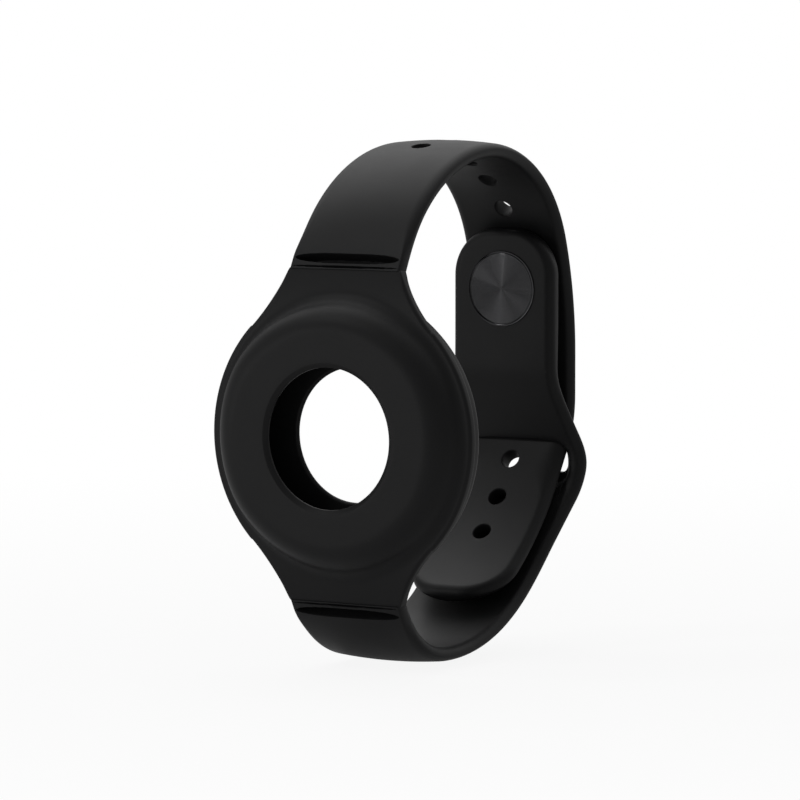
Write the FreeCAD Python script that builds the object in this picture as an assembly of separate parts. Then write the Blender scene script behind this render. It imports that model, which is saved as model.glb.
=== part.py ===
import FreeCAD, Part
import math
import os
from FreeCAD import Vector

# Wrist band that carries a coin-shaped tracker tag in a round pod.
# Millimetres; X runs across the strap, -Y is the front, +Z is up,
# and the origin is the middle of the wrist opening.

# Tag and pod
tag_diameter = 31.9
tag_side_clearance = 0.1
pocket_depth = 6.4
pocket_corner = 1.8
lip_wall = 0.9
front_window_diameter = 20.3
rear_window_diameter = 19.4
pod_wall = 5.55
plate_thickness = 2.3
plate_edge = 0.5
brim_width = 1.3
dome_rise = 3.6
dome_round = 4.3
dome_foot = 0.8
rear_boss_inset = 2.2
rear_round = 1.6
lip_round = 0.4
shoulder_radius = 27.0
pod_reach = 25.0
pod_drop = 4.0

# Straps
strap_thickness = 2.5
strap_edge = 1.0
root_width = 18.6
tail_width = 17.2
shoulder_reach = 2.4
crease_setback = 0.75
groove_depth = 0.8
groove_length = 16.5
groove_rise = 1.7

# Upper strap: lean at the crease, then bends as radius and turn
upper_lean_angle = 27.0
front_bend = 30.0
front_angle = 62.5
top_bend = 24.2
top_angle = 29.0
corner_bend = 19.8
corner_angle = 42.3
back_bend = 53.0
taper_reach = 40.0
slot_lead = 9.6
slot_bend = 16.0
slot_angle = 28.2
tail_bend = 51.2
tail_angle = 33.0
tail_tip = 7.0
hole_diameter = 3.3
hole_pitch = 6.79
tip_to_hole = 12.84
hole_count = 13

# Lower strap: lean at the crease, bends, then the keeper slot and the stud tab
lower_lean_angle = 28.5
belly_bend = 16.0
belly_angle = 58.8
rise_bend = 33.0
rise_angle = 53.3
keeper_bend = 9.0
keeper_lean_angle = 22.0
keeper_run = 8.2
tab_bend = 9.0
layer_gap = 3.4
keeper_bar = 2.5
keeper_flare_up = 11.1
keeper_flare_down = 15.6
keeper_round = 6.0
flare_round = 7.0
slot_clearance = 0.5
slot_corner = 1.7
slot_reach = 8.0
slot_mouth = 3.8
tab_tip = 7.0
tip_to_stud = 8.9

# Flex lines, where the band is divided so that its free ends can move
flex_radius = 8.0
flex_clearance = 0.1
flex_drop = 20.9
stud_rise = 9.7

# Stud
disc_diameter = 10.8
disc_thickness = 0.7
disc_proud = 0.15
disc_edge = 0.12
disc_clearance = 0.1
base_diameter = 8.4
base_thickness = 0.7
shank_diameter = 4.2
collar_diameter = 4.8
collar_gap = 0.7
socket_diameter = 1.6
neck_diameter = 2.0
head_diameter = 2.4
head_length = 1.5
head_clearance = 0.25

# Sizes worked out from the ones above
overrun = 4 * strap_thickness
half_strap = strap_thickness / 2
far = 4 * pod_reach
pocket_diameter = tag_diameter + 2 * tag_side_clearance
plate_diameter = pocket_diameter + 2 * pod_wall
crease_height = plate_diameter / 2 + shoulder_reach
rear_rise = pocket_depth + 2 * lip_wall - dome_rise - plate_thickness
dome_diameter = plate_diameter - 2 * brim_width
rear_diameter = plate_diameter - 2 * rear_boss_inset
slot_width = tail_width + 2 * slot_clearance
keeper_width = slot_width + 2 * keeper_bar
middle_share = 0.5
crossing_share = 0.01
off_face_share = 0.1
back_angle = 180 - upper_lean_angle - front_angle - top_angle - corner_angle


def ahead(heading):
    """Unit vector of a heading, in degrees from +Z towards +Y."""
    return Vector(0, math.sin(math.radians(heading)), math.cos(math.radians(heading)))


def right_of(heading):
    """Unit vector to the right of a heading, seen with +Y to the right and +Z up."""
    return Vector(0, math.cos(math.radians(heading)), -math.sin(math.radians(heading)))


def place(stretch, share, aside):
    """Point at a share of a stretch, set aside to the right of the way it runs."""
    start, heading, reach, turn = stretch
    if turn == 0:
        return start + ahead(heading) * (reach * share) + right_of(heading) * aside
    side = math.copysign(1, turn)
    centre = start + right_of(heading) * (side * reach)
    return centre - right_of(heading + turn * share) * (side * reach - aside)


def walk(start, heading, moves):
    """Stretches of a path: a move is a bend of radius and turn, or a run of length and no turn."""
    stretches = []
    for reach, turn in moves:
        stretches.append((start, heading, reach, turn))
        start = place(stretches[-1], 1, 0)
        heading += turn
    return stretches


def length_of(stretch):
    """Length of a stretch along its middle."""
    reach, turn = stretch[2:]
    return reach * math.radians(abs(turn)) if turn else reach


def along(stretches, distance):
    """Point and heading at a distance along a path."""
    for stretch in stretches:
        length = length_of(stretch)
        if distance <= length:
            share = distance / length
            return place(stretch, share, 0), stretch[1] + stretch[3] * share
        distance -= length
    return place(stretches[-1], 1, 0), stretches[-1][1] + stretches[-1][3]


def rail(stretch, aside):
    """Edge that follows a stretch at a distance to its right."""
    first, middle, last = (place(stretch, share, aside) for share in (0, middle_share, 1))
    if stretch[3] == 0:
        return Part.makeLine(first, last)
    return Part.Arc(first, middle, last).toShape()


def ribbon(stretches, width, half=half_strap):
    """Flat strip of a width and half thickness, bent along a path."""
    there = [rail(stretch, half) for stretch in stretches]
    back = [rail(stretch, -half) for stretch in reversed(stretches)]
    near = Part.makeLine(place(stretches[0], 0, -half), place(stretches[0], 0, half))
    far = Part.makeLine(place(stretches[-1], 1, half), place(stretches[-1], 1, -half))
    profile = Part.Face(Part.Wire(Part.__sortEdges__([near] + there + [far] + back)))
    profile.translate(Vector(-width / 2, 0, 0))
    return profile.extrude(Vector(width, 0, 0))


def mid_sheet(stretches, width):
    """Surface along the middle of a strip's thickness."""
    line = Part.Wire([rail(stretch, 0) for stretch in stretches])
    line.translate(Vector(-width, 0, 0))
    return line.extrude(Vector(2 * width, 0, 0))


def crosses(edge):
    """True for a straight edge that runs across the strap."""
    return edge.BoundBox.YLength + edge.BoundBox.ZLength < edge.BoundBox.XLength * crossing_share


def rim_edges(solid, stretches, width, half=half_strap, tip=None):
    """Long edges of a strap, and those round its tip, on both of its wide faces."""
    sheet = mid_sheet(stretches, width)
    rims = []
    for edge in solid.Edges:
        ends = [edge.valueAt(edge.FirstParameter), edge.CenterOfMass, edge.valueAt(edge.LastParameter)]
        off = [abs(sheet.distToShape(Part.Vertex(end))[0] - half) for end in ends]
        if max(off) > half * off_face_share:
            continue
        at_tip = tip is not None and (edge.CenterOfMass - tip).Length < strap_thickness
        if at_tip or not crosses(edge):
            rims.append(edge)
    return rims


def tip_corners(solid, tip, width):
    """Short edges through the thickness at the two corners of a strap's end."""
    return [edge for edge in solid.Edges if edge.BoundBox.XLength < half_strap
            and abs((edge.CenterOfMass - tip).Length - width / 2) < half_strap]


def disc(diameter, thickness, centre, axis):
    """Round bar of a diameter and length, from a centre along an axis."""
    return Part.makeCylinder(diameter / 2, thickness, centre, axis)


def turned(outline, centre):
    """Turned solid: an outline of radius and depth points and arcs, about the Y axis through a centre."""
    def spot(point):
        return Vector(point[0], point[1], 0)
    edges = []
    for piece in outline:
        points = [spot(point) for point in piece]
        edges.append(Part.makeLine(*points) if len(points) == 2 else Part.Arc(*points).toShape())
    solid = Part.Face(Part.Wire(edges)).revolve(Vector(), Vector(0, 1, 0), 360)
    solid.translate(centre)
    return solid


def bow(corner, radius, first, last):
    """Arc of a turned outline, from one angle to another about a corner's centre."""
    angles = [math.radians(angle) for angle in (first, (first + last) / 2, last)]
    return [(corner[0] + radius * math.cos(angle), corner[1] + radius * math.sin(angle)) for angle in angles]


def rounded_outline(corners):
    """Closed wire through corner points, each turned on an arc of its own radius."""
    edges = []
    ends = []
    for number, (corner, radius) in enumerate(corners):
        before = (corners[number - 1][0] - corner).normalize()
        after = (corners[(number + 1) % len(corners)][0] - corner).normalize()
        half_angle = before.getAngle(after) / 2
        trim = radius / math.tan(half_angle)
        first, last = corner + before * trim, corner + after * trim
        if radius > 0:
            inward = (before + after).normalize()
            middle = corner + inward * (radius / math.sin(half_angle) - radius)
            edges.append(Part.Arc(first, middle, last).toShape())
        ends.append((first, last))
    for number, (first, last) in enumerate(ends):
        edges.append(Part.makeLine(ends[number - 1][1], first))
    return Part.Wire(Part.__sortEdges__(edges))


def spindle(centre, depth, length):
    """Lens-shaped cutter across the strap, deepest in the middle and fading at both ends."""
    first, last = Vector(-length / 2, 0, 0), Vector(length / 2, 0, 0)
    bulge = Part.Arc(first, Vector(0, 0, depth), last).toShape()
    lens = Part.Face(Part.Wire([bulge, Part.makeLine(last, first)])).revolve(Vector(), Vector(1, 0, 0), 360)
    lens.translate(centre)
    return lens


# Pod: a flat plate with shoulders, a domed front, a low rear boss, and the tag's pocket between two lips
pod_middle = Vector(0, -pod_reach, -pod_drop)
plate_radius = plate_diameter / 2
crease_corner = Vector(root_width / 2, 0, crease_height)
crease_angle = math.atan2(crease_corner.x, crease_corner.z)
sweep_radius = plate_radius + shoulder_radius
sweep_reach = (sweep_radius ** 2 + crease_corner.Length ** 2 - shoulder_radius ** 2) / (2 * sweep_radius)
sweep_angle = crease_angle + math.acos(sweep_reach / crease_corner.Length)
sweep_centre = Vector(sweep_radius * math.sin(sweep_angle), 0, sweep_radius * math.cos(sweep_angle))
sweep_end = sweep_centre * (plate_radius / sweep_radius)
sweep_middle = (crease_corner + sweep_end) * middle_share - sweep_centre
sweep_middle = sweep_centre + sweep_middle * (shoulder_radius / sweep_middle.Length)


def mirrored(point, across, upright):
    """Point of the pod's outline in another quarter."""
    return Vector(point.x * across, 0, point.z * upright)


def quarter_sweep(across, upright):
    """Hollow curve from the plate's round edge up to the crease, in one quarter."""
    points = [mirrored(point, across, upright) for point in (sweep_end, sweep_middle, crease_corner)]
    return Part.Arc(*points).toShape()


outline = [quarter_sweep(across, upright) for across in (1, -1) for upright in (1, -1)]
for upright in (1, -1):
    outline.append(Part.makeLine(mirrored(crease_corner, -1, upright), mirrored(crease_corner, 1, upright)))
for across in (1, -1):
    outline.append(Part.Arc(mirrored(sweep_end, across, 1), Vector(across * plate_radius, 0, 0),
                            mirrored(sweep_end, across, -1)).toShape())
plate = Part.Face(Part.Wire(Part.__sortEdges__(outline))).extrude(Vector(0, plate_thickness, 0))
plate_rim = [edge for edge in plate.Edges if edge.BoundBox.YLength < plate_edge]
plate = plate.makeFillet(plate_edge, plate_rim)
plate.translate(pod_middle)

# The front dome turns down on a large round to the brim, and the rear boss on a small one
dome_radius = dome_diameter / 2
dome_fall = math.degrees(math.acos(1 - dome_rise / dome_round))
dome_flat = dome_radius - dome_round * math.sin(math.radians(dome_fall))
dome_sweep = bow((dome_flat, dome_round - dome_rise), dome_round, dome_fall - 90, -90)
dome = turned([[(0, plate_edge), (dome_radius, plate_edge)], [(dome_radius, plate_edge), dome_sweep[0]],
               dome_sweep, [dome_sweep[-1], (0, -dome_rise)], [(0, -dome_rise), (0, plate_edge)]], pod_middle)
rear_radius = rear_diameter / 2
rear_face = plate_thickness + rear_rise
rear_sweep = bow((rear_radius - rear_round, rear_face - rear_round), rear_round, 90, 0)
rear_foot = (rear_radius, plate_edge)
boss = turned([[(0, plate_edge), (0, rear_face)], [(0, rear_face), rear_sweep[0]], rear_sweep,
               [rear_sweep[-1], rear_foot], [rear_foot, (0, plate_edge)]], pod_middle)
pod = plate.fuse([dome, boss]).removeSplitter()
foot = [edge for edge in pod.Edges if abs(edge.BoundBox.XLength - dome_diameter) < plate_edge
        and abs(edge.CenterOfMass.y - pod_middle.y) < plate_edge]
pod = pod.makeFillet(dome_foot, foot)

# The pocket has rounded corners, and a window in front and behind that the tag is pressed in through
pocket_radius = pocket_diameter / 2
pocket_front = lip_wall - dome_rise
pocket_rear = pocket_front + pocket_depth
front_bow = bow((pocket_radius - pocket_corner, pocket_front + pocket_corner), pocket_corner, -90, 0)
rear_bow = bow((pocket_radius - pocket_corner, pocket_rear - pocket_corner), pocket_corner, 0, 90)
pocket = turned([[(0, pocket_front), front_bow[0]], front_bow, [front_bow[-1], rear_bow[0]], rear_bow,
                 [rear_bow[-1], (0, pocket_rear)], [(0, pocket_rear), (0, pocket_front)]], pod_middle)
front_window = disc(front_window_diameter, dome_rise + overrun, pod_middle, Vector(0, -1, 0))
rear_window = disc(rear_window_diameter, rear_face + overrun, pod_middle, Vector(0, 1, 0))
pod = pod.cut(pocket).cut(front_window).cut(rear_window)
window_sizes = (front_window_diameter, rear_window_diameter)
lips = [edge for edge in pod.Edges
        if min(abs(edge.BoundBox.XLength - size) for size in window_sizes) < plate_edge
        and abs(edge.BoundBox.XLength - edge.BoundBox.ZLength) < plate_edge]
tag_pod = pod.makeFillet(lip_round, lips)

# Upper strap: from the top crease over the wrist and down the back, through the slot and on to its tip
crease_middle = -pod_reach + crease_setback + half_strap
upper_root = Vector(0, crease_middle, crease_height - pod_drop)
upper_moves = [(front_bend, front_angle), (top_bend, top_angle)]
upper_moves += [(corner_bend, corner_angle), (back_bend, back_angle)]
back_start = place(walk(upper_root, upper_lean_angle, upper_moves)[-1], 1, 0)
back_plane = back_start.y

# Lower strap: from the bottom crease under the wrist, out round the tail, and in to the stud tab
lower_root = Vector(0, crease_middle, -crease_height - pod_drop)
rise_heading = 180 - lower_lean_angle - belly_angle - rise_angle
belly_moves = [(belly_bend, -belly_angle), (rise_bend, -rise_angle)]
keeper_moves = [(keeper_bend, -rise_heading - keeper_lean_angle), (keeper_run, 0)]
keeper_moves += [(tab_bend, keeper_lean_angle)]
belly_end = place(walk(lower_root, 180 - lower_lean_angle, belly_moves)[-1], 1, 0)
keeper_step = place(walk(belly_end, rise_heading, keeper_moves)[-1], 1, 0)
tab_plane = back_plane - strap_thickness - layer_gap
rise_run = (tab_plane - keeper_step.y) / math.sin(math.radians(rise_heading))
lower_moves = belly_moves + [(rise_run, 0)] + keeper_moves
lower_path = walk(lower_root, 180 - lower_lean_angle, lower_moves)
upright_share = rise_heading / (rise_heading + keeper_lean_angle)
slot_middle = place(lower_path[-3], upright_share, 0)
bar_top = place(lower_path[-1], 1, 0)

# The upper strap's straight back run ends where it turns in through the slot
back_run = back_start.z - slot_middle.z - slot_lead
upper_moves += [(back_run, 0), (slot_bend, slot_angle)]
tail_moves = [(tail_bend, tail_angle)]
upper_path = walk(upper_root, upper_lean_angle, upper_moves)
tail_root = place(upper_path[-1], 1, 0)
tail_heading = upper_path[-1][1] + upper_path[-1][3]
tail_path = walk(tail_root, tail_heading, tail_moves)
whole_path = upper_path + tail_path
whole_length = sum(length_of(stretch) for stretch in whole_path)
hole_places = [whole_length - tip_to_hole - number * hole_pitch for number in range(hole_count)]


def punched(strap):
    """Strap with the row of adjusting holes cut through it."""
    for distance in hole_places:
        point, heading = along(whole_path, distance)
        axis = right_of(heading)
        strap = strap.cut(disc(hole_diameter, 2 * overrun, point - axis * overrun, axis))
    return strap


def rooted(stretches):
    """Path with a short run before it, so that the strip can be cut level at the crease."""
    start, heading = stretches[0][:2]
    return [(start - ahead(heading) * overrun, heading, overrun, 0)] + stretches


behind_pod = Part.makeBox(2 * root_width, 2 * pod_reach, 2 * crease_height,
                          Vector(-root_width, -2 * pod_reach, -pod_drop - crease_height))
upper_solid = ribbon(rooted(upper_path), root_width)
taper_start = crease_middle
taper_end = crease_middle + taper_reach
taper_far = back_plane + overrun
taper_half = [(taper_start - overrun, root_width), (taper_start, root_width), (taper_end, tail_width),
              (taper_far, tail_width)]
taper_points = [Vector(wide / 2, y, 0) for y, wide in taper_half]
taper_points += [Vector(-wide / 2, y, 0) for y, wide in reversed(taper_half)]
taper = Part.Face(Part.makePolygon(taper_points + taper_points[:1])).extrude(Vector(0, 0, 2 * far))
taper.translate(Vector(0, 0, -far))
upper_solid = upper_solid.common(taper).cut(behind_pod)
upper_solid = upper_solid.makeFillet(strap_edge, rim_edges(upper_solid, rooted(upper_path), root_width))


def groove(path, distance, outward):
    """Cutter for the scooped flex groove beside a crease, on the strap's outer face."""
    point, heading = along(path, distance)
    return spindle(point + right_of(heading) * (half_strap * outward), groove_depth, groove_length)


hole_strap = punched(upper_solid.cut(groove(upper_path, groove_rise, -1)))

tail_solid = ribbon(tail_path, tail_width)
tail_end = place(tail_path[-1], 1, 0)
tail_solid = tail_solid.makeFillet(tail_tip, tip_corners(tail_solid, tail_end, tail_width))
tail_solid = tail_solid.makeFillet(strap_edge, rim_edges(tail_solid, tail_path, tail_width, tip=tail_end))
strap_tail = punched(tail_solid)

# The stud sits where the tab's end lies over one of the holes
stud_aim = back_start.z + stud_rise
hole_points = [along(whole_path, distance)[0] for distance in hole_places]
stud_point = min(hole_points, key=lambda point: abs(point.z - stud_aim))
stud_height = stud_point.z
tab_length = stud_height + tip_to_stud - bar_top.z
band_path = rooted(lower_path) + [(bar_top, 0, tab_length, 0)]
lower_solid = ribbon(band_path, keeper_width)

# Seen from behind, the strap widens round the slot and ends in the tab's rounded tip
widest = slot_middle.z
low_end = lower_root.z - far
side_corners = [(root_width, low_end, 0), (root_width, widest - keeper_flare_down, keeper_flare_down),
                (keeper_width, widest, keeper_round), (tail_width, widest + keeper_flare_up, flare_round),
                (tail_width, stud_height + tip_to_stud, tab_tip)]
plan_corners = [(Vector(wide / 2, 0, z), radius) for wide, z, radius in side_corners]
plan_corners += [(Vector(-wide / 2, 0, z), radius) for wide, z, radius in reversed(side_corners)]
plan = Part.Face(rounded_outline(plan_corners)).extrude(Vector(0, 2 * far, 0))
plan.translate(Vector(0, -far, 0))
lower_solid = lower_solid.common(plan).cut(behind_pod)
tab_end = place(band_path[-1], 1, 0)
lower_solid = lower_solid.makeFillet(strap_edge, rim_edges(lower_solid, band_path, keeper_width, tip=tab_end))

# The slot is the way that the upper strap takes, with room all round, and a straight mouth through the strap
reach_angle = math.degrees(slot_reach / tail_bend)
slot_path = walk(back_start, 180, [(back_run, 0), (slot_bend, slot_angle), (tail_bend, reach_angle)])
half_slot = half_strap + slot_clearance
passage = ribbon(slot_path, slot_width, half_slot)
passage = passage.makeFillet(slot_corner, rim_edges(passage, slot_path, slot_width, half_slot))
mouth_sides = [(1, 1), (1, -1), (-1, -1), (-1, 1)]
mouth_corners = [(slot_middle + Vector(x * slot_width / 2, -overrun, z * slot_mouth / 2), slot_corner)
                 for x, z in mouth_sides]
mouth = Part.Face(rounded_outline(mouth_corners)).extrude(Vector(0, 2 * overrun, 0))
lower_solid = lower_solid.cut(passage).cut(mouth).cut(groove(lower_path, groove_rise, 1))

# The tab turns about a line in the middle of the upper strap's thickness, on a round seat
flex_axis = Vector(0, stud_point.y - half_strap / 2, stud_height - flex_drop)
seat = disc(2 * flex_radius, 2 * keeper_width, flex_axis - Vector(keeper_width, 0, 0), Vector(1, 0, 0))
above = Part.makeBox(2 * keeper_width, 2 * pod_reach, 2 * crease_height,
                     Vector(-keeper_width, flex_axis.y - pod_reach, flex_axis.z))
slot_strap = lower_solid.cut(above.cut(seat))
gap_seat = disc(2 * (flex_radius + flex_clearance), 2 * keeper_width,
                flex_axis - Vector(keeper_width, 0, 0), Vector(1, 0, 0))
stud_tab = lower_solid.common(above).cut(gap_seat)

# Stud: a flanged base moulded into the tab, a spun disc over it, and a pin through the strap's hole
inner_face = tab_plane - half_strap
outer_face = tab_plane + half_strap
outward = Vector(0, 1, 0)


def stud_spot(y):
    """Point on the stud's axis."""
    return Vector(0, y, stud_height)


disc_back = inner_face - disc_proud + disc_thickness
stud_disc = disc(disc_diameter, disc_thickness, stud_spot(inner_face - disc_proud), outward)
disc_front = [edge for edge in stud_disc.Edges if edge.CenterOfMass.y < disc_back - disc_thickness / 2]
disc_rim = [edge for edge in disc_front if edge.BoundBox.YLength < disc_edge]
stud_disc = stud_disc.makeFillet(disc_edge, disc_rim)
disc_seat = disc(disc_diameter + 2 * disc_clearance, disc_back - inner_face + overrun,
                 stud_spot(inner_face - overrun), outward)
collar_end = stud_point.y - half_strap - collar_gap
base_back = disc_back + base_thickness
flange = disc(base_diameter, base_thickness, stud_spot(disc_back), outward)
shank = disc(shank_diameter, outer_face - disc_back, stud_spot(disc_back), outward)
collar = disc(collar_diameter, collar_end - outer_face, stud_spot(outer_face), outward)
socket = disc(socket_diameter, collar_end - base_back, stud_spot(base_back), outward)
base_solid = flange.fuse([shank, collar]).removeSplitter()
stud_tab = stud_tab.cut(disc_seat).cut(base_solid)
stud_base = base_solid.cut(socket)
head_start = stud_point.y + half_strap + head_clearance
neck = disc(neck_diameter, head_start - collar_end, stud_spot(collar_end), outward)
tang = disc(socket_diameter, collar_end - base_back, stud_spot(base_back), outward)
head = disc(head_diameter, head_length, stud_spot(head_start), outward)
head_rims = [edge for edge in head.Edges if edge.BoundBox.YLength < disc_edge]
head = head.makeFillet(head_length / 2 - disc_edge, head_rims)
stud_pin = tang.fuse([neck, head]).removeSplitter()

nodes = {
    "tag_pod": tag_pod,
    "hole_strap": hole_strap,
    "strap_tail": strap_tail,
    "slot_strap": slot_strap,
    "stud_tab": stud_tab,
    "stud_disc": stud_disc,
    "stud_base": stud_base,
    "stud_pin": stud_pin,
}
os.makedirs("parts", exist_ok=True)
for name, shape in nodes.items():
    shape.exportStep("parts/" + name + ".step")
print("Tail hinge", place(tail_path[0], 0, half_strap), "tab hinge", flex_axis)
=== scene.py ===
import bpy
import numpy as np
from mathutils import Matrix, Vector


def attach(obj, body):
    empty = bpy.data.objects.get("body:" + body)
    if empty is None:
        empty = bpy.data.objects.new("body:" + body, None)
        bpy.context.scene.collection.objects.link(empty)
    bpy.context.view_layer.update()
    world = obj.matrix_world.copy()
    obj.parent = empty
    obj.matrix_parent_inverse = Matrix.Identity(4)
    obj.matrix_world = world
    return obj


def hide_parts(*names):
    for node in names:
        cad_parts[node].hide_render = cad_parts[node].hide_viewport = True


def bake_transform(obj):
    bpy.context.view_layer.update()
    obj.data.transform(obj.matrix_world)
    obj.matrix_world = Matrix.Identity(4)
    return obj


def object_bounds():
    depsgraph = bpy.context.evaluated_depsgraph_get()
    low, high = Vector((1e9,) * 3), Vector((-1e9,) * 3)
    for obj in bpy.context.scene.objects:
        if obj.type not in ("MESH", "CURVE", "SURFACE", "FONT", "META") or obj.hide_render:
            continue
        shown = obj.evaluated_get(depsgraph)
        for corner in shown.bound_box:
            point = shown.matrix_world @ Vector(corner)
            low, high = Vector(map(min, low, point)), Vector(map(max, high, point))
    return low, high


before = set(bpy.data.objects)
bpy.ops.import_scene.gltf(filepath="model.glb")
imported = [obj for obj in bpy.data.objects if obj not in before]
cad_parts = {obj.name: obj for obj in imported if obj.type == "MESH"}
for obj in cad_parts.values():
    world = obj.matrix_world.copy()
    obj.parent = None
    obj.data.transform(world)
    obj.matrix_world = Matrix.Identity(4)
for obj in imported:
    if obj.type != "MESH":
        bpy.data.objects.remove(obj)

solid_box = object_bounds()

# Tag pod: the round front of the band, moulded in black silicone in one shot with both straps.
# A domed ring holds the tag between a front lip and a rear lip round two windows,
# and a thin brim runs out into a flat shoulder above and below, up to the strap's crease.
millimetre = 0.001
weld_distance = 1e-6
sharp_crease = np.radians(50)
pod_middle = np.array([0.0, -25.0, -4.0])
pod_columns = 480
brim_radius, brim_thick, rim_round = 21.7, 1.6, 0.5
front_face, rear_face, wall = -3.6, 4.85, 0.9
window_radius, window_bevel, window_bevel_deep, window_edge = 10.15, 0.65, 0.45, 0.1
rear_window_radius, rear_lip_round = 9.7, 0.42
pocket_radius, pocket_corner = 16.05, 1.8
side_dome, side_foot = 20.0, 1.4
shoulder_dome, shoulder_foot = 19.4, 2.2
dome_round = 4.3
shoulder_from, shoulder_over = 0.45, 0.5
boss_radius, boss_round = 20.7, 1.3
boss_root_out, boss_root_in, boss_root_rise = 0.25, 0.05, 0.1
shoulder_centre = np.array([34.13, 34.59])
shoulder_hollow = 27.0
shoulder_start_angle = np.radians(44.6)
shoulder_corner_ease = 0.12
crease_height, crease_half_width, crease_round = 24.0, 9.3, 0.2
crisp_height, crisp_ease = 22.6, 0.35
shoulder_lean, lean_from = 1.3, 15.0
steepest_upright = 0.2


def bow(across, deep, radius, first, last, steps):
    """Circle arc of a section: (across + r cos a, deep + r sin a) for a from first to last, in degrees."""
    angle = np.radians(np.linspace(first, last, steps))
    return np.stack([across + radius * np.cos(angle), deep + radius * np.sin(angle)], -1)


def brim_reach(turn):
    """Distance from the pod's middle to its rim: the brim's circle, or the smaller of the hollow
    shoulder curve and the straight crease, joined by a soft minimum that rounds the corner."""
    quarter = np.abs(np.arctan2(np.sin(turn), np.abs(np.cos(turn))))
    sideways, upright = np.sin(quarter), np.cos(quarter)
    toward = shoulder_centre[0] * sideways + shoulder_centre[1] * upright
    inside = toward ** 2 - np.sum(shoulder_centre ** 2) + shoulder_hollow ** 2
    hollow = toward - np.sqrt(np.maximum(inside, 0))
    crease = crease_height / np.maximum(upright, steepest_upright)
    apart = np.abs(hollow - crease) / shoulder_corner_ease
    corner = np.minimum(hollow, crease) - shoulder_corner_ease * np.log1p(np.exp(-apart))
    return np.where(quarter > shoulder_start_angle, brim_radius, corner)


def settle(piece):
    """Turns a piece's modifiers into plain mesh, smooth but for its sharp creases."""
    bpy.context.view_layer.update()
    seen = piece.evaluated_get(bpy.context.evaluated_depsgraph_get())
    mesh = bpy.data.meshes.new_from_object(seen)
    piece.modifiers.clear()
    piece.data = mesh
    mesh.polygons.foreach_set("use_smooth", np.ones(len(mesh.polygons), bool))
    mesh.set_sharp_from_angle(angle=sharp_crease)


def lay_mesh(name, points, round_rows, round_columns):
    """Mesh of a grid of points, closed over rows or columns where asked, in metres, turned outwards by the
    sign of its volume, with shared corners merged so that seams and poles are shut."""
    rows, columns = points.shape[:2]
    index = np.arange(rows * columns).reshape(rows, columns)
    if round_rows:
        index = np.concatenate([index, index[:1]], 0)
    if round_columns:
        index = np.concatenate([index, index[:, :1]], 1)
    quads = np.stack([index[:-1, :-1], index[1:, :-1], index[1:, 1:], index[:-1, 1:]], -1).reshape(-1, 4)
    flat = points.reshape(-1, 3)
    corner = (flat - flat.mean(0))[quads]
    normal = np.cross(corner[:, 2] - corner[:, 0], corner[:, 3] - corner[:, 1])
    if np.sum(normal * corner.mean(1)) < 0:
        quads = quads[:, ::-1]
    mesh = bpy.data.meshes.new(name)
    mesh.from_pydata((flat * millimetre).tolist(), [], quads.tolist())
    piece = bpy.data.objects.new(name, mesh)
    bpy.context.scene.collection.objects.link(piece)
    weld = piece.modifiers.new("weld", "WELD")
    weld.merge_threshold = weld_distance
    settle(piece)
    return piece


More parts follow.
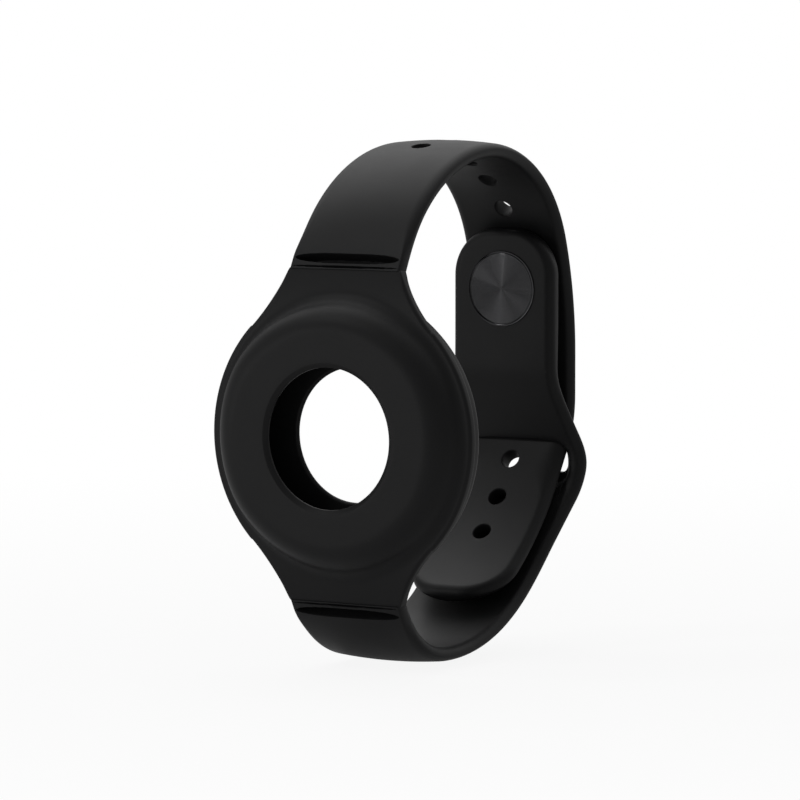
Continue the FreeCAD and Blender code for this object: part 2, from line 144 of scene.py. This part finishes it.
def pod_section(dome_radius, foot):
    """Section of the ring, with a hollow of a given radius at the foot of a dome, in columns (share of the rim,
    reach, depth, and how far the rim's own rounding moves reach and depth): reach counts from the pod's middle
    where the share is 0 and inwards from the rim where it is 1, and depth counts back from the brim's front."""
    even = np.linspace(0, 1, 9)[1:-1]
    bevel_turn = np.degrees(np.arctan2(window_bevel, window_bevel_deep))
    lean_in = np.tan(np.radians(bevel_turn) / 2)
    lean_out = np.tan(np.radians(90 - bevel_turn) / 2)
    dome_flat = dome_radius - np.sqrt(dome_round ** 2 - (front_face + dome_round) ** 2)
    foot_across = np.sqrt((dome_round + foot) ** 2 - (front_face + dome_round + foot) ** 2)
    foot_turn = np.degrees(np.arctan2(-foot - front_face - dome_round, foot_across))
    foot_end = dome_flat + foot_across
    face_start = window_radius + window_bevel + 2 * window_edge
    rear_lip = rear_window_radius + rear_lip_round
    boss_flat = boss_radius - boss_round
    pocket_flat = pocket_radius - pocket_corner
    inner = np.concatenate([
        bow(window_radius + window_edge, front_face + wall - window_edge, window_edge, 90, 180, 4),
        bow(window_radius + window_edge, front_face + window_bevel_deep + window_edge * lean_in, window_edge,
            180, 180 + bevel_turn, 4),
        bow(window_radius + window_bevel + window_edge * lean_out, front_face + window_edge, window_edge,
            180 + bevel_turn, 270, 4),
        np.stack([face_start + (dome_flat - face_start) * even, np.full(7, front_face)], -1),
        bow(dome_flat, front_face + dome_round, dome_round, -90, foot_turn, 18),
        bow(foot_end, -foot, foot, foot_turn + 180, 90, 8)[1:],
    ])
    back = np.concatenate([
        np.array([[boss_radius + boss_root_out, brim_thick],
                  [boss_radius + boss_root_in, brim_thick + boss_root_rise]]),
        bow(boss_flat, rear_face - boss_round, boss_round, 0, 90, 10),
        np.stack([boss_flat + (rear_lip - boss_flat) * even, np.full(7, rear_face)], -1),
        bow(rear_lip, rear_face - rear_lip_round, rear_lip_round, 90, 180, 8),
        bow(rear_lip, rear_face - wall + rear_lip_round, rear_lip_round, 180, 270, 6),
        bow(pocket_flat, rear_face - wall - pocket_corner, pocket_corner, 90, 0, 8),
        bow(pocket_flat, front_face + wall + pocket_corner, pocket_corner, 0, -90, 8),
    ])
    rim = bow(0, 0, 1, -90, 0, 8)
    none, whole = np.zeros((7, 1)), np.ones((8, 1))
    share = even[:, None]
    boss_root = boss_radius + boss_root_out
    return np.concatenate([
        np.c_[np.zeros(len(inner)), inner, np.zeros((len(inner), 2))],
        np.c_[share, foot_end * (1 - share), none, -share, none],
        np.c_[whole, 0 * whole, 0 * whole, rim[:, :1] - 1, rim[:, 1:] + 1],
        np.c_[whole, 0 * whole, brim_thick * whole, rim[::-1, :1] - 1, -1 - rim[::-1, 1:]],
        np.c_[share[::-1], boss_root * (1 - share[::-1]), none + brim_thick, -share[::-1], none],
        np.c_[np.zeros(len(back)), back, np.zeros((len(back), 2))],
    ])


def pod_surface(columns):
    """Ring swept round the pod: at turn t a section point lies at reach + share * rim(t), its rim is rounded
    less at the creases, the dome draws in and its foot is hollowed wider towards the shoulders, and the
    shoulders lean back by the square of their height past the dome."""
    turn = np.linspace(0, 2 * np.pi, columns, endpoint=False)
    corner = np.arctan2(crease_half_width, crease_height)
    marks = np.array([corner, np.pi - corner, np.pi + corner, 2 * np.pi - corner])
    turn[np.abs(turn[:, None] - marks[None]).argmin(0)] = marks
    wide = np.clip((np.abs(np.cos(turn)) - shoulder_from) / shoulder_over, 0, 1)
    wide = wide ** 2 * (3 - 2 * wide)
    at_side = pod_section(side_dome, side_foot)[..., None]
    at_shoulder = pod_section(shoulder_dome, shoulder_foot)[..., None]
    share, reach, deep, rim_reach, rim_deep = np.moveaxis(at_side * (1 - wide) + at_shoulder * wide, 1, 0)
    rim = brim_reach(turn)[None]
    crisp = 1 / (1 + np.exp((crisp_height - rim * np.abs(np.cos(turn))) / crisp_ease))
    rounding = rim_round + (crease_round - rim_round) * crisp
    reach = reach + share * rim + rim_reach * rounding
    across, upright = reach * np.sin(turn), reach * np.cos(turn)
    past_dome = np.maximum(np.abs(upright) - lean_from, 0) / (crease_height - lean_from)
    deep = deep + rim_deep * rounding + shoulder_lean * past_dome ** 2
    return np.stack([across, deep, upright], -1) + pod_middle


class Blend:
    """Wraps one socket of a material, so that a finish is written as sums of its patterns."""

    def __init__(self, tree, socket):
        self.tree = tree
        self.socket = socket

    def node(self, kind, settings, inputs, output=0):
        """Adds a node of a type with its settings first, then the values or links of its sockets."""
        made = self.tree.nodes.new(kind)
        for key, value in settings.items():
            setattr(made, key, value)
        for key, value in inputs.items():
            if isinstance(value, Blend):
                self.tree.links.new(value.socket, made.inputs[key])
            else:
                made.inputs[key].default_value = value
        return Blend(self.tree, made.outputs[output])

    def maths(self, operation, first, second):
        """Adds one Math node."""
        return self.node("ShaderNodeMath", {"operation": operation}, {0: first, 1: second})

    def __add__(self, other):
        return self.maths("ADD", self, other)

    __radd__ = __add__

    def __mul__(self, other):
        return self.maths("MULTIPLY", self, other)

    __rmul__ = __mul__

    def tint(self, low, high):
        """Colour that runs from low to high with this value: sockets 6 and 7 are a Mix node's two colours."""
        return self.node("ShaderNodeMix", {"data_type": "RGBA"}, {0: self, 6: low, 7: high}, 2)


def new_finish(name):
    """Empty material with its shader and its Object coordinates to write with."""
    finish = bpy.data.materials.new(name)
    finish.use_nodes = True
    shader = finish.node_tree.nodes["Principled BSDF"]
    place = Blend(finish.node_tree, None).node("ShaderNodeTexCoord", {}, {}, "Object")
    return finish, shader, place


def join_finish(value, shader, socket):
    """Links a value to one socket of the shader."""
    value.tree.links.new(value.socket, shader.inputs[socket])


def silicone():
    """Matte moulded silicone: a fine eggshell grain from the mould, slow cloudiness in its sheen, and pale
    dust in specks."""
    finish, shader, place = new_finish("black_silicone")
    grain = place.node("ShaderNodeTexNoise", {}, {"Vector": place, "Scale": 5200.0, "Detail": 2.0})
    cloud = place.node("ShaderNodeTexNoise", {},
                       {"Vector": place, "Scale": 160.0, "Detail": 4.0, "Roughness": 0.6})
    speck = place.node("ShaderNodeTexVoronoi", {"feature": "F1"}, {"Vector": place, "Scale": 420.0})
    dust = place.node("ShaderNodeMapRange", {}, {"Value": speck, "From Min": 0.10, "From Max": 0.04})
    patch = place.node("ShaderNodeMapRange", {}, {"Value": cloud, "From Min": 0.56, "From Max": 0.72})
    deep_black, worn_black = (0.0050, 0.0050, 0.0053, 1), (0.0086, 0.0086, 0.0090, 1)
    dust_grey = (0.045, 0.045, 0.046, 1)
    base = (cloud * 0.7 + grain * 0.3).tint(deep_black, worn_black)
    join_finish((dust * patch * 0.35).tint(base, dust_grey), shader, "Base Color")
    join_finish(cloud * 0.10 + grain * 0.06 + 0.40, shader, "Roughness")
    bump = grain.node("ShaderNodeBump", {}, {"Strength": 0.22, "Distance": 0.00004, "Height": grain})
    join_finish(bump, shader, "Normal")
    shader.inputs["IOR"].default_value = 1.41
    shader.inputs["Specular IOR Level"].default_value = 0.2
    return finish


black_silicone = silicone()
pod = lay_mesh("tag_pod_skin", pod_surface(pod_columns), True, True)
pod.data.materials.append(black_silicone)
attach(pod, "band")
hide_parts("tag_pod")

# Upper strap: one run of silicone from the top crease over the wrist and down the back, where it turns in
# through the slot and ends in a broad round tip. Its outer face is crowned, its edges are full and round,
# a deep groove and a thin notch beside the crease let it flex, and a row of round holes takes the stud.
strap_half, strap_crown, strap_columns = 1.25, 0.55, 57
strap_round, inner_round, root_round = 1.5, 1.3, 0.35
edge_power, edge_crowding = 2.1, 2.2
root_setback, setback_fade = 0.6, 7.0
root_flat, root_ease, flat_ease = 0.8, 4.5, 2.0
groove_from_crease, groove_half, groove_half_length = 0.87, 0.76, 8.6
groove_deep, groove_steepness = 1.9, 2
notch_from_crease, notch_half, notch_half_length, notch_deep = -0.42, 0.17, 8.8, 0.6
tip_half_width, tip_corner, tip_zone = 8.6, 7.0, 7.5
tip_fullness, tip_full_from, tip_full_ease = 0.3, 108, 1.5
slot_distance, squeeze_round, squeeze_reach = 95.0, 4.5, 4
squeeze_width, squeeze_length = 0.2, 5
taper_back, taper_distance = 17.0, 60
upper_root, upper_heading = (-23.0, 20.0), 27.0
upper_moves = [(30.0, 62.5), (24.2, 29.0), (19.8, 42.3), (53.0, 19.2), (6.232, 0), (16.0, 28.2), (51.2, 33.7)]
never_flat = 200
hole_radius, hole_pitch, hole_count, hole_sides = 1.4, 6.79, 13, 48
hole_flare, hole_sink, hole_past = 0.12, 0.04, 1.2
tip_to_hole = 13.466


def run_length(move):
    """Length of a bend of radius and degrees, or of a straight run of a length and no degrees."""
    return move[0] * np.radians(abs(move[1])) if move[1] else move[0]


def go(place, heading, move, past):
    """Back, up and heading at distances past the start of one move: a bend adds
    r (cos a0 - cos a1, sin a1 - sin a0) for its turn, and a run, or what lies before a bend, goes straight on."""
    size, degrees = move
    first = np.radians(heading)
    straight = np.minimum(past, 0) if degrees else past
    back, up = place[0] + np.sin(first) * straight, place[1] + np.cos(first) * straight
    if not degrees:
        return back, up, np.full_like(past, heading)
    now = np.radians(heading + degrees * np.maximum(past, 0) / run_length(move))
    radius = np.copysign(size, degrees)
    return (back + radius * (np.cos(first) - np.cos(now)), up + radius * (np.sin(now) - np.sin(first)),
            np.degrees(now))


def follow(root, heading, moves, distance):
    """Back and up of a path of bends and runs, and its heading in degrees from +Z towards +Y, at distances
    along it: each move starts where and how the one before it ends."""
    path = go(root, heading, moves[0], distance)
    start = 0.0
    for move, after in zip(moves[:-1], moves[1:]):
        length = run_length(move)
        back, up, way = go(root, heading, move, np.array([length]))
        root, heading, start = (back[0], up[0]), way[0], start + length
        there = go(root, heading, after, distance - start)
        path = [np.where(distance >= start, new, old) for new, old in zip(there, path)]
    return path


def edge_shares(steps):
    """Shares from -1 to 1, crowded towards both edges so that the round edge has enough rows."""
    even = np.linspace(-1, 1, steps)
    return np.sign(even) * (1 - (1 - np.abs(even)) ** edge_crowding)


def round_edge(inset, radius):
    """Share of full thickness at a distance in from the outline: a quarter of a full, squarish circle."""
    return np.maximum(1 - (1 - np.clip(inset / radius, 0, 1)) ** edge_power, 0) ** (1 / edge_power)


def tip_outline(distance, length):
    """Half width of a strap that ends in two round corners, along its length."""
    into = np.clip(distance - (length - tip_corner), 0, tip_corner)
    return tip_half_width - tip_corner + np.sqrt(np.maximum(tip_corner ** 2 - into ** 2, 0))


def strap_inset(distance, aside, half_width, length):
    """Distance in from a strap's outline: from its sides, and near its tip from the end and two round corners."""
    out = np.maximum(np.abs(aside) - (tip_half_width - tip_corner), 0)
    past = np.maximum(distance - (length - tip_corner), 0)
    square = np.minimum(tip_half_width - np.abs(aside), length - distance)
    tip = np.where((out > 0) & (past > 0), tip_corner - np.hypot(out, past), square)
    return np.where(distance > length - tip_zone, tip, half_width - np.abs(aside))


def scoop(distance, aside):
    """Depth of the lens-shaped groove beside the crease and of the thin notch at it: the groove has steep walls
    inside a boxy ellipse and a flat floor, and the notch fades as the root of what is left of an ellipse."""
    groove = 1 - ((distance - groove_from_crease) / groove_half) ** 2 - np.abs(aside / groove_half_length) ** 3
    notch = 1 - ((distance - notch_from_crease) / notch_half) ** 2 - (aside / notch_half_length) ** 2
    return (groove_deep * np.sqrt(np.clip(groove_steepness * groove, 0, 1))
            + notch_deep * np.sqrt(np.maximum(notch, 0)))


def tucked(distance, aside):
    """Shares of thickness and inner edge of the upper strap: its outer face is fuller at its tip, by a soft
    step, and its inner edges are squeezed round in the slot, by a bell curve."""
    squeeze = np.exp(-((distance - slot_distance) / squeeze_reach) ** 2)
    fuller = 1 + tip_fullness / (1 + np.exp((tip_full_from - distance) / tip_full_ease))
    return fuller, 1.0, inner_round + (squeeze_round - inner_round) * squeeze


def strip_surface(path, half_width, distance, outer_side, thickness, flat_from):
    """Closed strip round a path: at each distance it goes over the outer face from edge to edge and back
    over the inner one, set off the path's middle by half the thickness, the round edge, the crown and any
    thinning of both faces. Its outer edge and crown are full at the root, which is shut and set back a little,
    and past a distance where it lies flat on another strap."""
    back, up, way = path
    shares, along = edge_shares(strap_columns)[None, :], distance[:, None]
    aside = shares * half_width[:, None]
    off_root = 1 - np.exp(-(np.maximum(along - root_flat, 0) / root_ease) ** 2)
    free = off_root / (1 + np.exp((along - flat_from) / flat_ease))
    within = strap_inset(along, aside, half_width[:, None], distance[-1])
    edge = round_edge(within, root_round + (strap_round - root_round) * free)
    crown = 1 - strap_crown / strap_half * shares ** 2 * free
    outer_share, inner_share, inner_edge = thickness(along, aside)
    outer = strap_half * edge * crown * outer_share - scoop(along, aside)
    inner = -strap_half * round_edge(within, inner_edge) * inner_share
    outer[0], inner[0] = 0.0, 0.0
    aside = np.concatenate([aside, aside[:, -2:0:-1]], 1)
    off = np.concatenate([outer, inner[:, -2:0:-1]], 1) * outer_side
    turn = np.radians(way)[:, None]
    setback = root_setback * np.exp(-(along / setback_fade) ** 2)
    return np.stack([aside, back[:, None] + off * np.cos(turn) + setback, up[:, None] - off * np.sin(turn)], -1)


def cutter_surface(path, profile, sides):
    """Turned cutters, one at each spot of a path, square to it: a profile of (radius, height) carried round."""
    back, up, way = path
    angle = np.linspace(0, 2 * np.pi, sides, endpoint=False)
    across, ahead = profile[:, None, 0] * np.stack([np.cos(angle), np.sin(angle)])[:, None, :]
    turn = np.radians(way)[:, None, None]
    high = np.broadcast_to(profile[None, :, None, 1], (len(back), len(profile), sides))
    y = back[:, None, None] + ahead * np.sin(turn) + high * np.cos(turn)
    z = up[:, None, None] + ahead * np.cos(turn) - high * np.sin(turn)
    return np.stack([np.broadcast_to(across, high.shape), y, z], -1)


def flared(radius, half, ease, reach):
    """Profile of a hole cutter: straight through the strap, flaring on a quarter circle at both faces."""
    angle = np.radians(np.linspace(0, 90, 7))
    rim = np.stack([radius + ease * (1 - np.cos(angle)), half - ease + ease * np.sin(angle)], -1)
    top = np.array([[radius + ease, half + reach], [0.0, half + reach]])
    side = np.concatenate([rim, top])
    return np.concatenate([side[::-1] * (1, -1), side])


def cut(piece, cutters):
    """Cuts pieces out of another and removes them."""
    for cutter in cutters:
        step = piece.modifiers.new("cut", "BOOLEAN")
        step.operation = "DIFFERENCE"
        step.solver = "EXACT"
        step.object = cutter
    settle(piece)
    for cutter in cutters:
        bpy.data.objects.remove(cutter)


def strap_rows(length):
    """Distances along a strap, each stretch with a step of its own: fine at the crease and towards the tip."""
    marks = [(-0.82, 0.02), (-0.8, 0.045), (1.9, 0.35), (8.0, 0.6), (length - 9.0, 0.35), (length - 1.4, 0.1),
             (length - 0.3, 0.04), (length - 0.02, 0.02), (length, 1)]
    rows = [np.arange(start, end - step / 2, step) for (start, step), (end, _) in zip(marks[:-1], marks[1:])]
    return np.concatenate(rows + [[length]])


upper_length = sum(run_length(move) for move in upper_moves)
upper_rows = strap_rows(upper_length)
upper_path = follow(upper_root, upper_heading, upper_moves, upper_rows)
upper_half = np.interp(upper_path[0], [upper_root[0], taper_back], [crease_half_width, tip_half_width])
upper_half = np.where(upper_rows > taper_distance, tip_half_width, upper_half)
upper_half = upper_half - squeeze_width * np.exp(-((upper_rows - slot_distance) / squeeze_length) ** 2)
upper_width = np.where(upper_rows > upper_length - tip_corner, tip_outline(upper_rows, upper_length), upper_half)
upper_strap = lay_mesh("upper_strap_skin",
                       strip_surface(upper_path, upper_width, upper_rows, -1, tucked, never_flat), False, True)
hole_spots = upper_length - tip_to_hole - hole_pitch * np.arange(hole_count)
hole_cuts = cutter_surface(follow(upper_root, upper_heading, upper_moves, hole_spots),
                           flared(hole_radius, strap_half - hole_sink, hole_flare, hole_past), hole_sides)
cut(upper_strap, [lay_mesh("hole_cut", one, False, True) for one in hole_cuts])
upper_strap.data.materials.append(black_silicone)
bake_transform(upper_strap)
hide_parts("hole_strap", "strap_tail")

# Lower strap: it leaves the bottom crease, rounds the wrist and widens into the keeper, whose slot the
# upper strap's tail is tucked through. Above the slot a bar leans in and becomes the tab that holds the stud.
# It is the same moulding as the pod, so it has the same crown, edges and grain.
lower_root, lower_heading = (-23.0, -28.0), 151.5
lower_moves = [(16.0, -58.8), (33.0, -53.3), (10.242, 0), (9.0, -61.4), (8.2, 0), (9.0, 22.0), (20.326, 0)]
keeper_middle, keeper_half_width, keeper_distance = -10.7, 11.72, 25
swell_height, fall_height = 15.6, 11.1
swell_ease, keeper_ease, fall_ease = 1.6, 0.9, 1.5
slot_half_width, slot_half = 8.62, 1.75
slot_corner = np.array([5.0, 2.9])
slot_from, slot_to, slot_step = 66.0, 99.5, 0.5
mouth_height, mouth_half, mouth_half_width = -10.69, 1.85, 8.4
mouth_from, mouth_to = 18.03, 32.97
outer_rim, inner_rim = (61.7, 70.2, 0.55), (59.5, 66.4, 0.35)
slot_rim_corner, slot_rim_gap, slot_rim_round = 2.4, 0.1, 1.3
tab_flat_distance = 76
tab_middle, stud_height = 21.526, 15.053
seat_profile = np.array([[0, -2.0], [5.67, -2.0], [5.67, -0.02], [5.65, 0.03], [5.64, 0.1], [5.63, 0.75],
                         [0, 0.75]])
seat_sides = 96


def bend_in(height, at, ease):
    """Soft hinge of a straight line: ease * log(1 + exp((height - at) / ease))."""
    return ease * np.logaddexp(0, (height - at) / ease)


def keeper_half(height):
    """Half width by height: it swells in a straight line to the slot's middle and falls to the tab's width."""
    swell = (keeper_half_width - crease_half_width) / swell_height
    fall = (keeper_half_width - tip_half_width) / fall_height
    return (crease_half_width + swell * bend_in(height, keeper_middle - swell_height, swell_ease)
            - (swell + fall) * bend_in(height, keeper_middle, keeper_ease)
            + fall * bend_in(height, keeper_middle + fall_height, fall_ease))


def ring_surface(path, half_width, half):
    """Slot cutter: an oblong section, rounder above than below, carried along a path and closed at both ends."""
    back, up, way = path
    low_corner = 2 * half - slot_corner[1]
    above = np.array([half_width, half]) - slot_corner + slot_corner * bow(0, 0, 1, 0, 90, 14)
    below = bow(half_width - low_corner, half - low_corner, low_corner, 0, 90, 6)
    loop = np.concatenate([above, above[::-1] * (-1, 1), below * (-1, -1), below[::-1] * (1, -1)])
    loop = np.broadcast_to(loop, (len(back), *loop.shape)).copy()
    loop[0], loop[-1] = 0.0, 0.0
    turn = np.radians(way)[:, None]
    return np.stack([loop[..., 0], back[:, None] + loop[..., 1] * np.cos(turn),
                     up[:, None] - loop[..., 1] * np.sin(turn)], -1)


def slot_rims(distance, aside):
    """Shares of thickness round the slot, for the outer and the inner face: both thin towards a rounded oblong
    about the slot, by the same squarish quarter circle as the strap's edges."""
    keep = []
    for low, high, least in (outer_rim, inner_rim):
        along = np.abs(distance - (low + high) / 2) - ((high - low) / 2 - slot_rim_corner)
        out = np.abs(aside) - (slot_half_width + slot_rim_gap - slot_rim_corner)
        outside = np.hypot(np.maximum(along, 0), np.maximum(out, 0))
        gap = outside + np.minimum(np.maximum(along, out), 0) - slot_rim_corner
        keep.append(least + (1 - least) * round_edge(np.maximum(gap, 0), slot_rim_round))
    return *keep, inner_round


lower_length = sum(run_length(move) for move in lower_moves)
lower_rows = strap_rows(lower_length)
lower_path = follow(lower_root, lower_heading, lower_moves, lower_rows)
lower_half = np.where(lower_rows > keeper_distance, keeper_half(lower_path[1]), crease_half_width)
lower_width = np.where(lower_rows > lower_length - tip_corner,
                       lower_half - tip_half_width + tip_outline(lower_rows, lower_length), lower_half)
lower_strap = lay_mesh("lower_strap_skin", strip_surface(
    lower_path, lower_width, lower_rows, 1, slot_rims, tab_flat_distance), False, True)
slot_rows = np.concatenate([[slot_from], np.arange(slot_from, slot_to, slot_step), [slot_to]])
slot_path = follow(upper_root, upper_heading, upper_moves, slot_rows)
slot_cut = lay_mesh("slot_cut", ring_surface(slot_path, slot_half_width, slot_half), False, True)
mouth_rows = np.array([mouth_from, mouth_from, mouth_to, mouth_to])
mouth_path = (mouth_rows, np.full(4, mouth_height), np.full(4, -90.0))
mouth_cut = lay_mesh("mouth_cut", ring_surface(mouth_path, mouth_half_width, mouth_half), False, True)
seat_path = (np.array([tab_middle - strap_half]), np.array([stud_height]), np.array([0.0]))
seat_cut = lay_mesh("seat_cut", cutter_surface(seat_path, seat_profile, seat_sides)[0], False, True)
cut(lower_strap, [slot_cut, mouth_cut, seat_cut])
lower_strap.data.materials.append(black_silicone)
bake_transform(lower_strap)
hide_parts("slot_strap", "stud_tab")

# Stud: a spun disc of dark metal let into the tab's inner face, with the fine turning grooves of its
# lathe cut, over a flanged base and a headed pin that goes out through one of the strap's holes.
# The metal is darkened, so that its grooves show as a bow-tie of light.
disc_proud, disc_sides = 0.15, 192
disc_face = tab_middle - strap_half - disc_proud
lathe_radius, lathe_pitch, lathe_depth = 5.25, 0.13, 0.026
disc_rim = np.array([[5.27, 0.0], [5.3, 0.05], [5.35, 0.06], [5.4, 0.0], [5.58, -0.02], [5.62, 0.03], [5.62, 0.7],
                     [0.0, 0.7]])


def disc_surface(sides):
    """Spun disc: rings of grooves, depth times a raised cosine of the radius over the groove's pitch, then a
    bevel, the side and a flat back."""
    radius = np.arange(0.0, lathe_radius, lathe_pitch / 6)
    groove = lathe_depth * (0.5 - 0.5 * np.cos(2 * np.pi * radius / lathe_pitch))
    profile = np.concatenate([np.stack([radius, groove], -1), disc_rim])
    angle = np.linspace(0, 2 * np.pi, sides, endpoint=False)
    across = profile[:, :1] * np.cos(angle)
    up = stud_height + profile[:, :1] * np.sin(angle)
    deep = np.broadcast_to(disc_face + profile[:, 1:], across.shape)
    return np.stack([across, deep, up], -1)


def spun_metal(name, dark, light, rough):
    """Metal turned on a lathe: its colour and sheen vary ring by ring about the stud's axis."""
    finish, shader, place = new_finish(name)
    centred = place.node("ShaderNodeMapping", {}, {"Vector": place, "Location": (0, 0, -stud_height * millimetre)})
    flat = place.node("ShaderNodeVectorMath", {"operation": "MULTIPLY"}, {0: centred, 1: (1, 0, 1)})
    radius = place.node("ShaderNodeVectorMath", {"operation": "LENGTH"}, {0: flat}, "Value")
    along = place.node("ShaderNodeCombineXYZ", {}, {"X": radius})
    ring = place.node("ShaderNodeTexNoise", {}, {"Vector": along, "Scale": 6000.0, "Detail": 3.0})
    join_finish(ring.tint(dark, light), shader, "Base Color")
    join_finish(ring * 0.12 + rough, shader, "Roughness")
    shader.inputs["Metallic"].default_value = 1.0
    return finish


stud_metal = spun_metal("spun_dark_metal", (0.026, 0.026, 0.027, 1), (0.054, 0.054, 0.056, 1), 0.08)
disc = lay_mesh("stud_disc_spun", disc_surface(disc_sides), False, True)
disc.data.materials.append(stud_metal)
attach(disc, "stud_tab")
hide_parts("stud_disc")
pin_metal = spun_metal("turned_pin_metal", (0.30, 0.30, 0.31, 1), (0.42, 0.42, 0.43, 1), 0.28)
for name in ("stud_base", "stud_pin"):
    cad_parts[name].data.materials.clear()
    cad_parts[name].data.materials.append(pin_metal)

# Studio: a pale seamless floor under the band and three soft lamps on the left, one large above, one small
# above in front and one low in front, in a white room that the silicone's sheen reflects.
# The camera is a long lens to the right of the pod.
floor_height = solid_box[0][2] - 0.0005
floor_reach = 3.0
floor_grey = (0.86, 0.86, 0.86, 1)
floor_shine = 0.3
white = (1, 1, 1, 1)


def looked_at(place, shine):
    """One where the camera looks straight or through something clear, the given shine where it looks in a
    mirror, and nought for soft light."""
    rays = place.node("ShaderNodeLightPath", {}, {}, "Is Camera Ray")
    outputs = rays.socket.node.outputs
    mirrored = rays.maths("MAXIMUM", rays, Blend(place.tree, outputs["Is Glossy Ray"]) * shine)
    return mirrored.maths("MAXIMUM", mirrored, Blend(place.tree, outputs["Is Transmission Ray"]))


def pale_floor():
    """Pale floor that shows almost white to the camera, fully so away from the band, and keeps a faint shadow."""
    finish, shader, place = new_finish("pale_floor")
    shader.inputs["Base Color"].default_value = floor_grey
    shader.inputs["Roughness"].default_value = 0.9
    tree = finish.node_tree
    glow = place.node("ShaderNodeEmission", {}, {"Color": white, "Strength": 1.0})
    away = place.node("ShaderNodeVectorMath", {"operation": "LENGTH"}, {0: place}, "Value")
    share = place.node("ShaderNodeMapRange", {},
                       {"Value": away, "From Min": 0.05, "From Max": 0.30, "To Min": 0.9, "To Max": 1.0})
    both = place.node("ShaderNodeMixShader", {},
                      {0: looked_at(place, floor_shine) * share, 1: Blend(tree, shader.outputs[0]), 2: glow})
    tree.links.new(both.socket, tree.nodes["Material Output"].inputs["Surface"])
    return finish


far = floor_reach / millimetre
corners = np.array([[[-far, -far], [-far, far]], [[far, -far], [far, far]]])
level = np.full((2, 2, 1), floor_height / millimetre)
floor = lay_mesh("floor", np.concatenate([corners, level], -1), False, False)
floor.data.materials.append(pale_floor())


def soft_lamp(name, spot, size, power):
    """Square soft lamp at a spot, turned to the middle of the band."""
    lamp = bpy.data.lights.new(name, "AREA")
    lamp.shape = "RECTANGLE"
    lamp.size, lamp.size_y = size
    lamp.energy = power
    piece = bpy.data.objects.new(name, lamp)
    turned = (-Vector(spot)).to_track_quat("-Z", "Y").to_matrix().to_4x4()
    piece.matrix_world = Matrix.Translation(spot) @ turned
    bpy.context.scene.collection.objects.link(piece)


soft_lamp("lamp_above", (-0.36, 0.24, 0.72), (0.8, 0.8), 2.5)
soft_lamp("lamp_front", (-0.41, -0.47, 0.62), (0.15, 0.15), 0.8)
soft_lamp("lamp_left", (-0.62, -0.80, 0.02), (0.5, 0.4), 2.2)

room_level = 0.35
room_bright_side = (0.0, 0.6, 0.8)
room = bpy.data.worlds.new("white_room")
room.use_nodes = True
backdrop = room.node_tree.nodes["Background"]
backdrop.inputs["Color"].default_value = white
way = Blend(room.node_tree, None).node("ShaderNodeTexCoord", {}, {}, "Generated")
behind = way.node("ShaderNodeVectorMath", {"operation": "DOT_PRODUCT"}, {0: way, 1: room_bright_side}, "Value")
shine = way.node("ShaderNodeMapRange", {"interpolation_type": "SMOOTHSTEP"},
                 {"Value": behind, "From Min": 0.35, "From Max": 0.9, "To Min": 0.1, "To Max": 1.0})
strength = looked_at(way, shine) * (1 - room_level) + room_level
room.node_tree.links.new(strength.socket, backdrop.inputs["Strength"])
bpy.context.scene.world = room

camera_side, camera_tilt = np.radians(31.64), np.radians(4.46)
camera_right, camera_up, camera_away = 8.566, 5.319, 710.61
toward = np.array([np.sin(camera_side) * np.cos(camera_tilt), -np.cos(camera_side) * np.cos(camera_tilt),
                   np.sin(camera_tilt)])
right = np.array([np.cos(camera_side), np.sin(camera_side), 0.0])
above = np.cross(toward, right)
spot = (camera_right * right + camera_up * above + camera_away * toward + pod_middle) * millimetre
lens = bpy.data.cameras.new("camera")
lens.sensor_width = 36.0
lens.lens = 225.0
lens.clip_start = 0.01
camera = bpy.data.objects.new("camera", lens)
camera.matrix_world = Matrix(np.stack([right, above, toward, spot], 1).tolist() + [[0, 0, 0, 1]])
bpy.context.scene.collection.objects.link(camera)
bpy.context.scene.camera = camera
bpy.context.scene.view_settings.view_transform = "Standard"
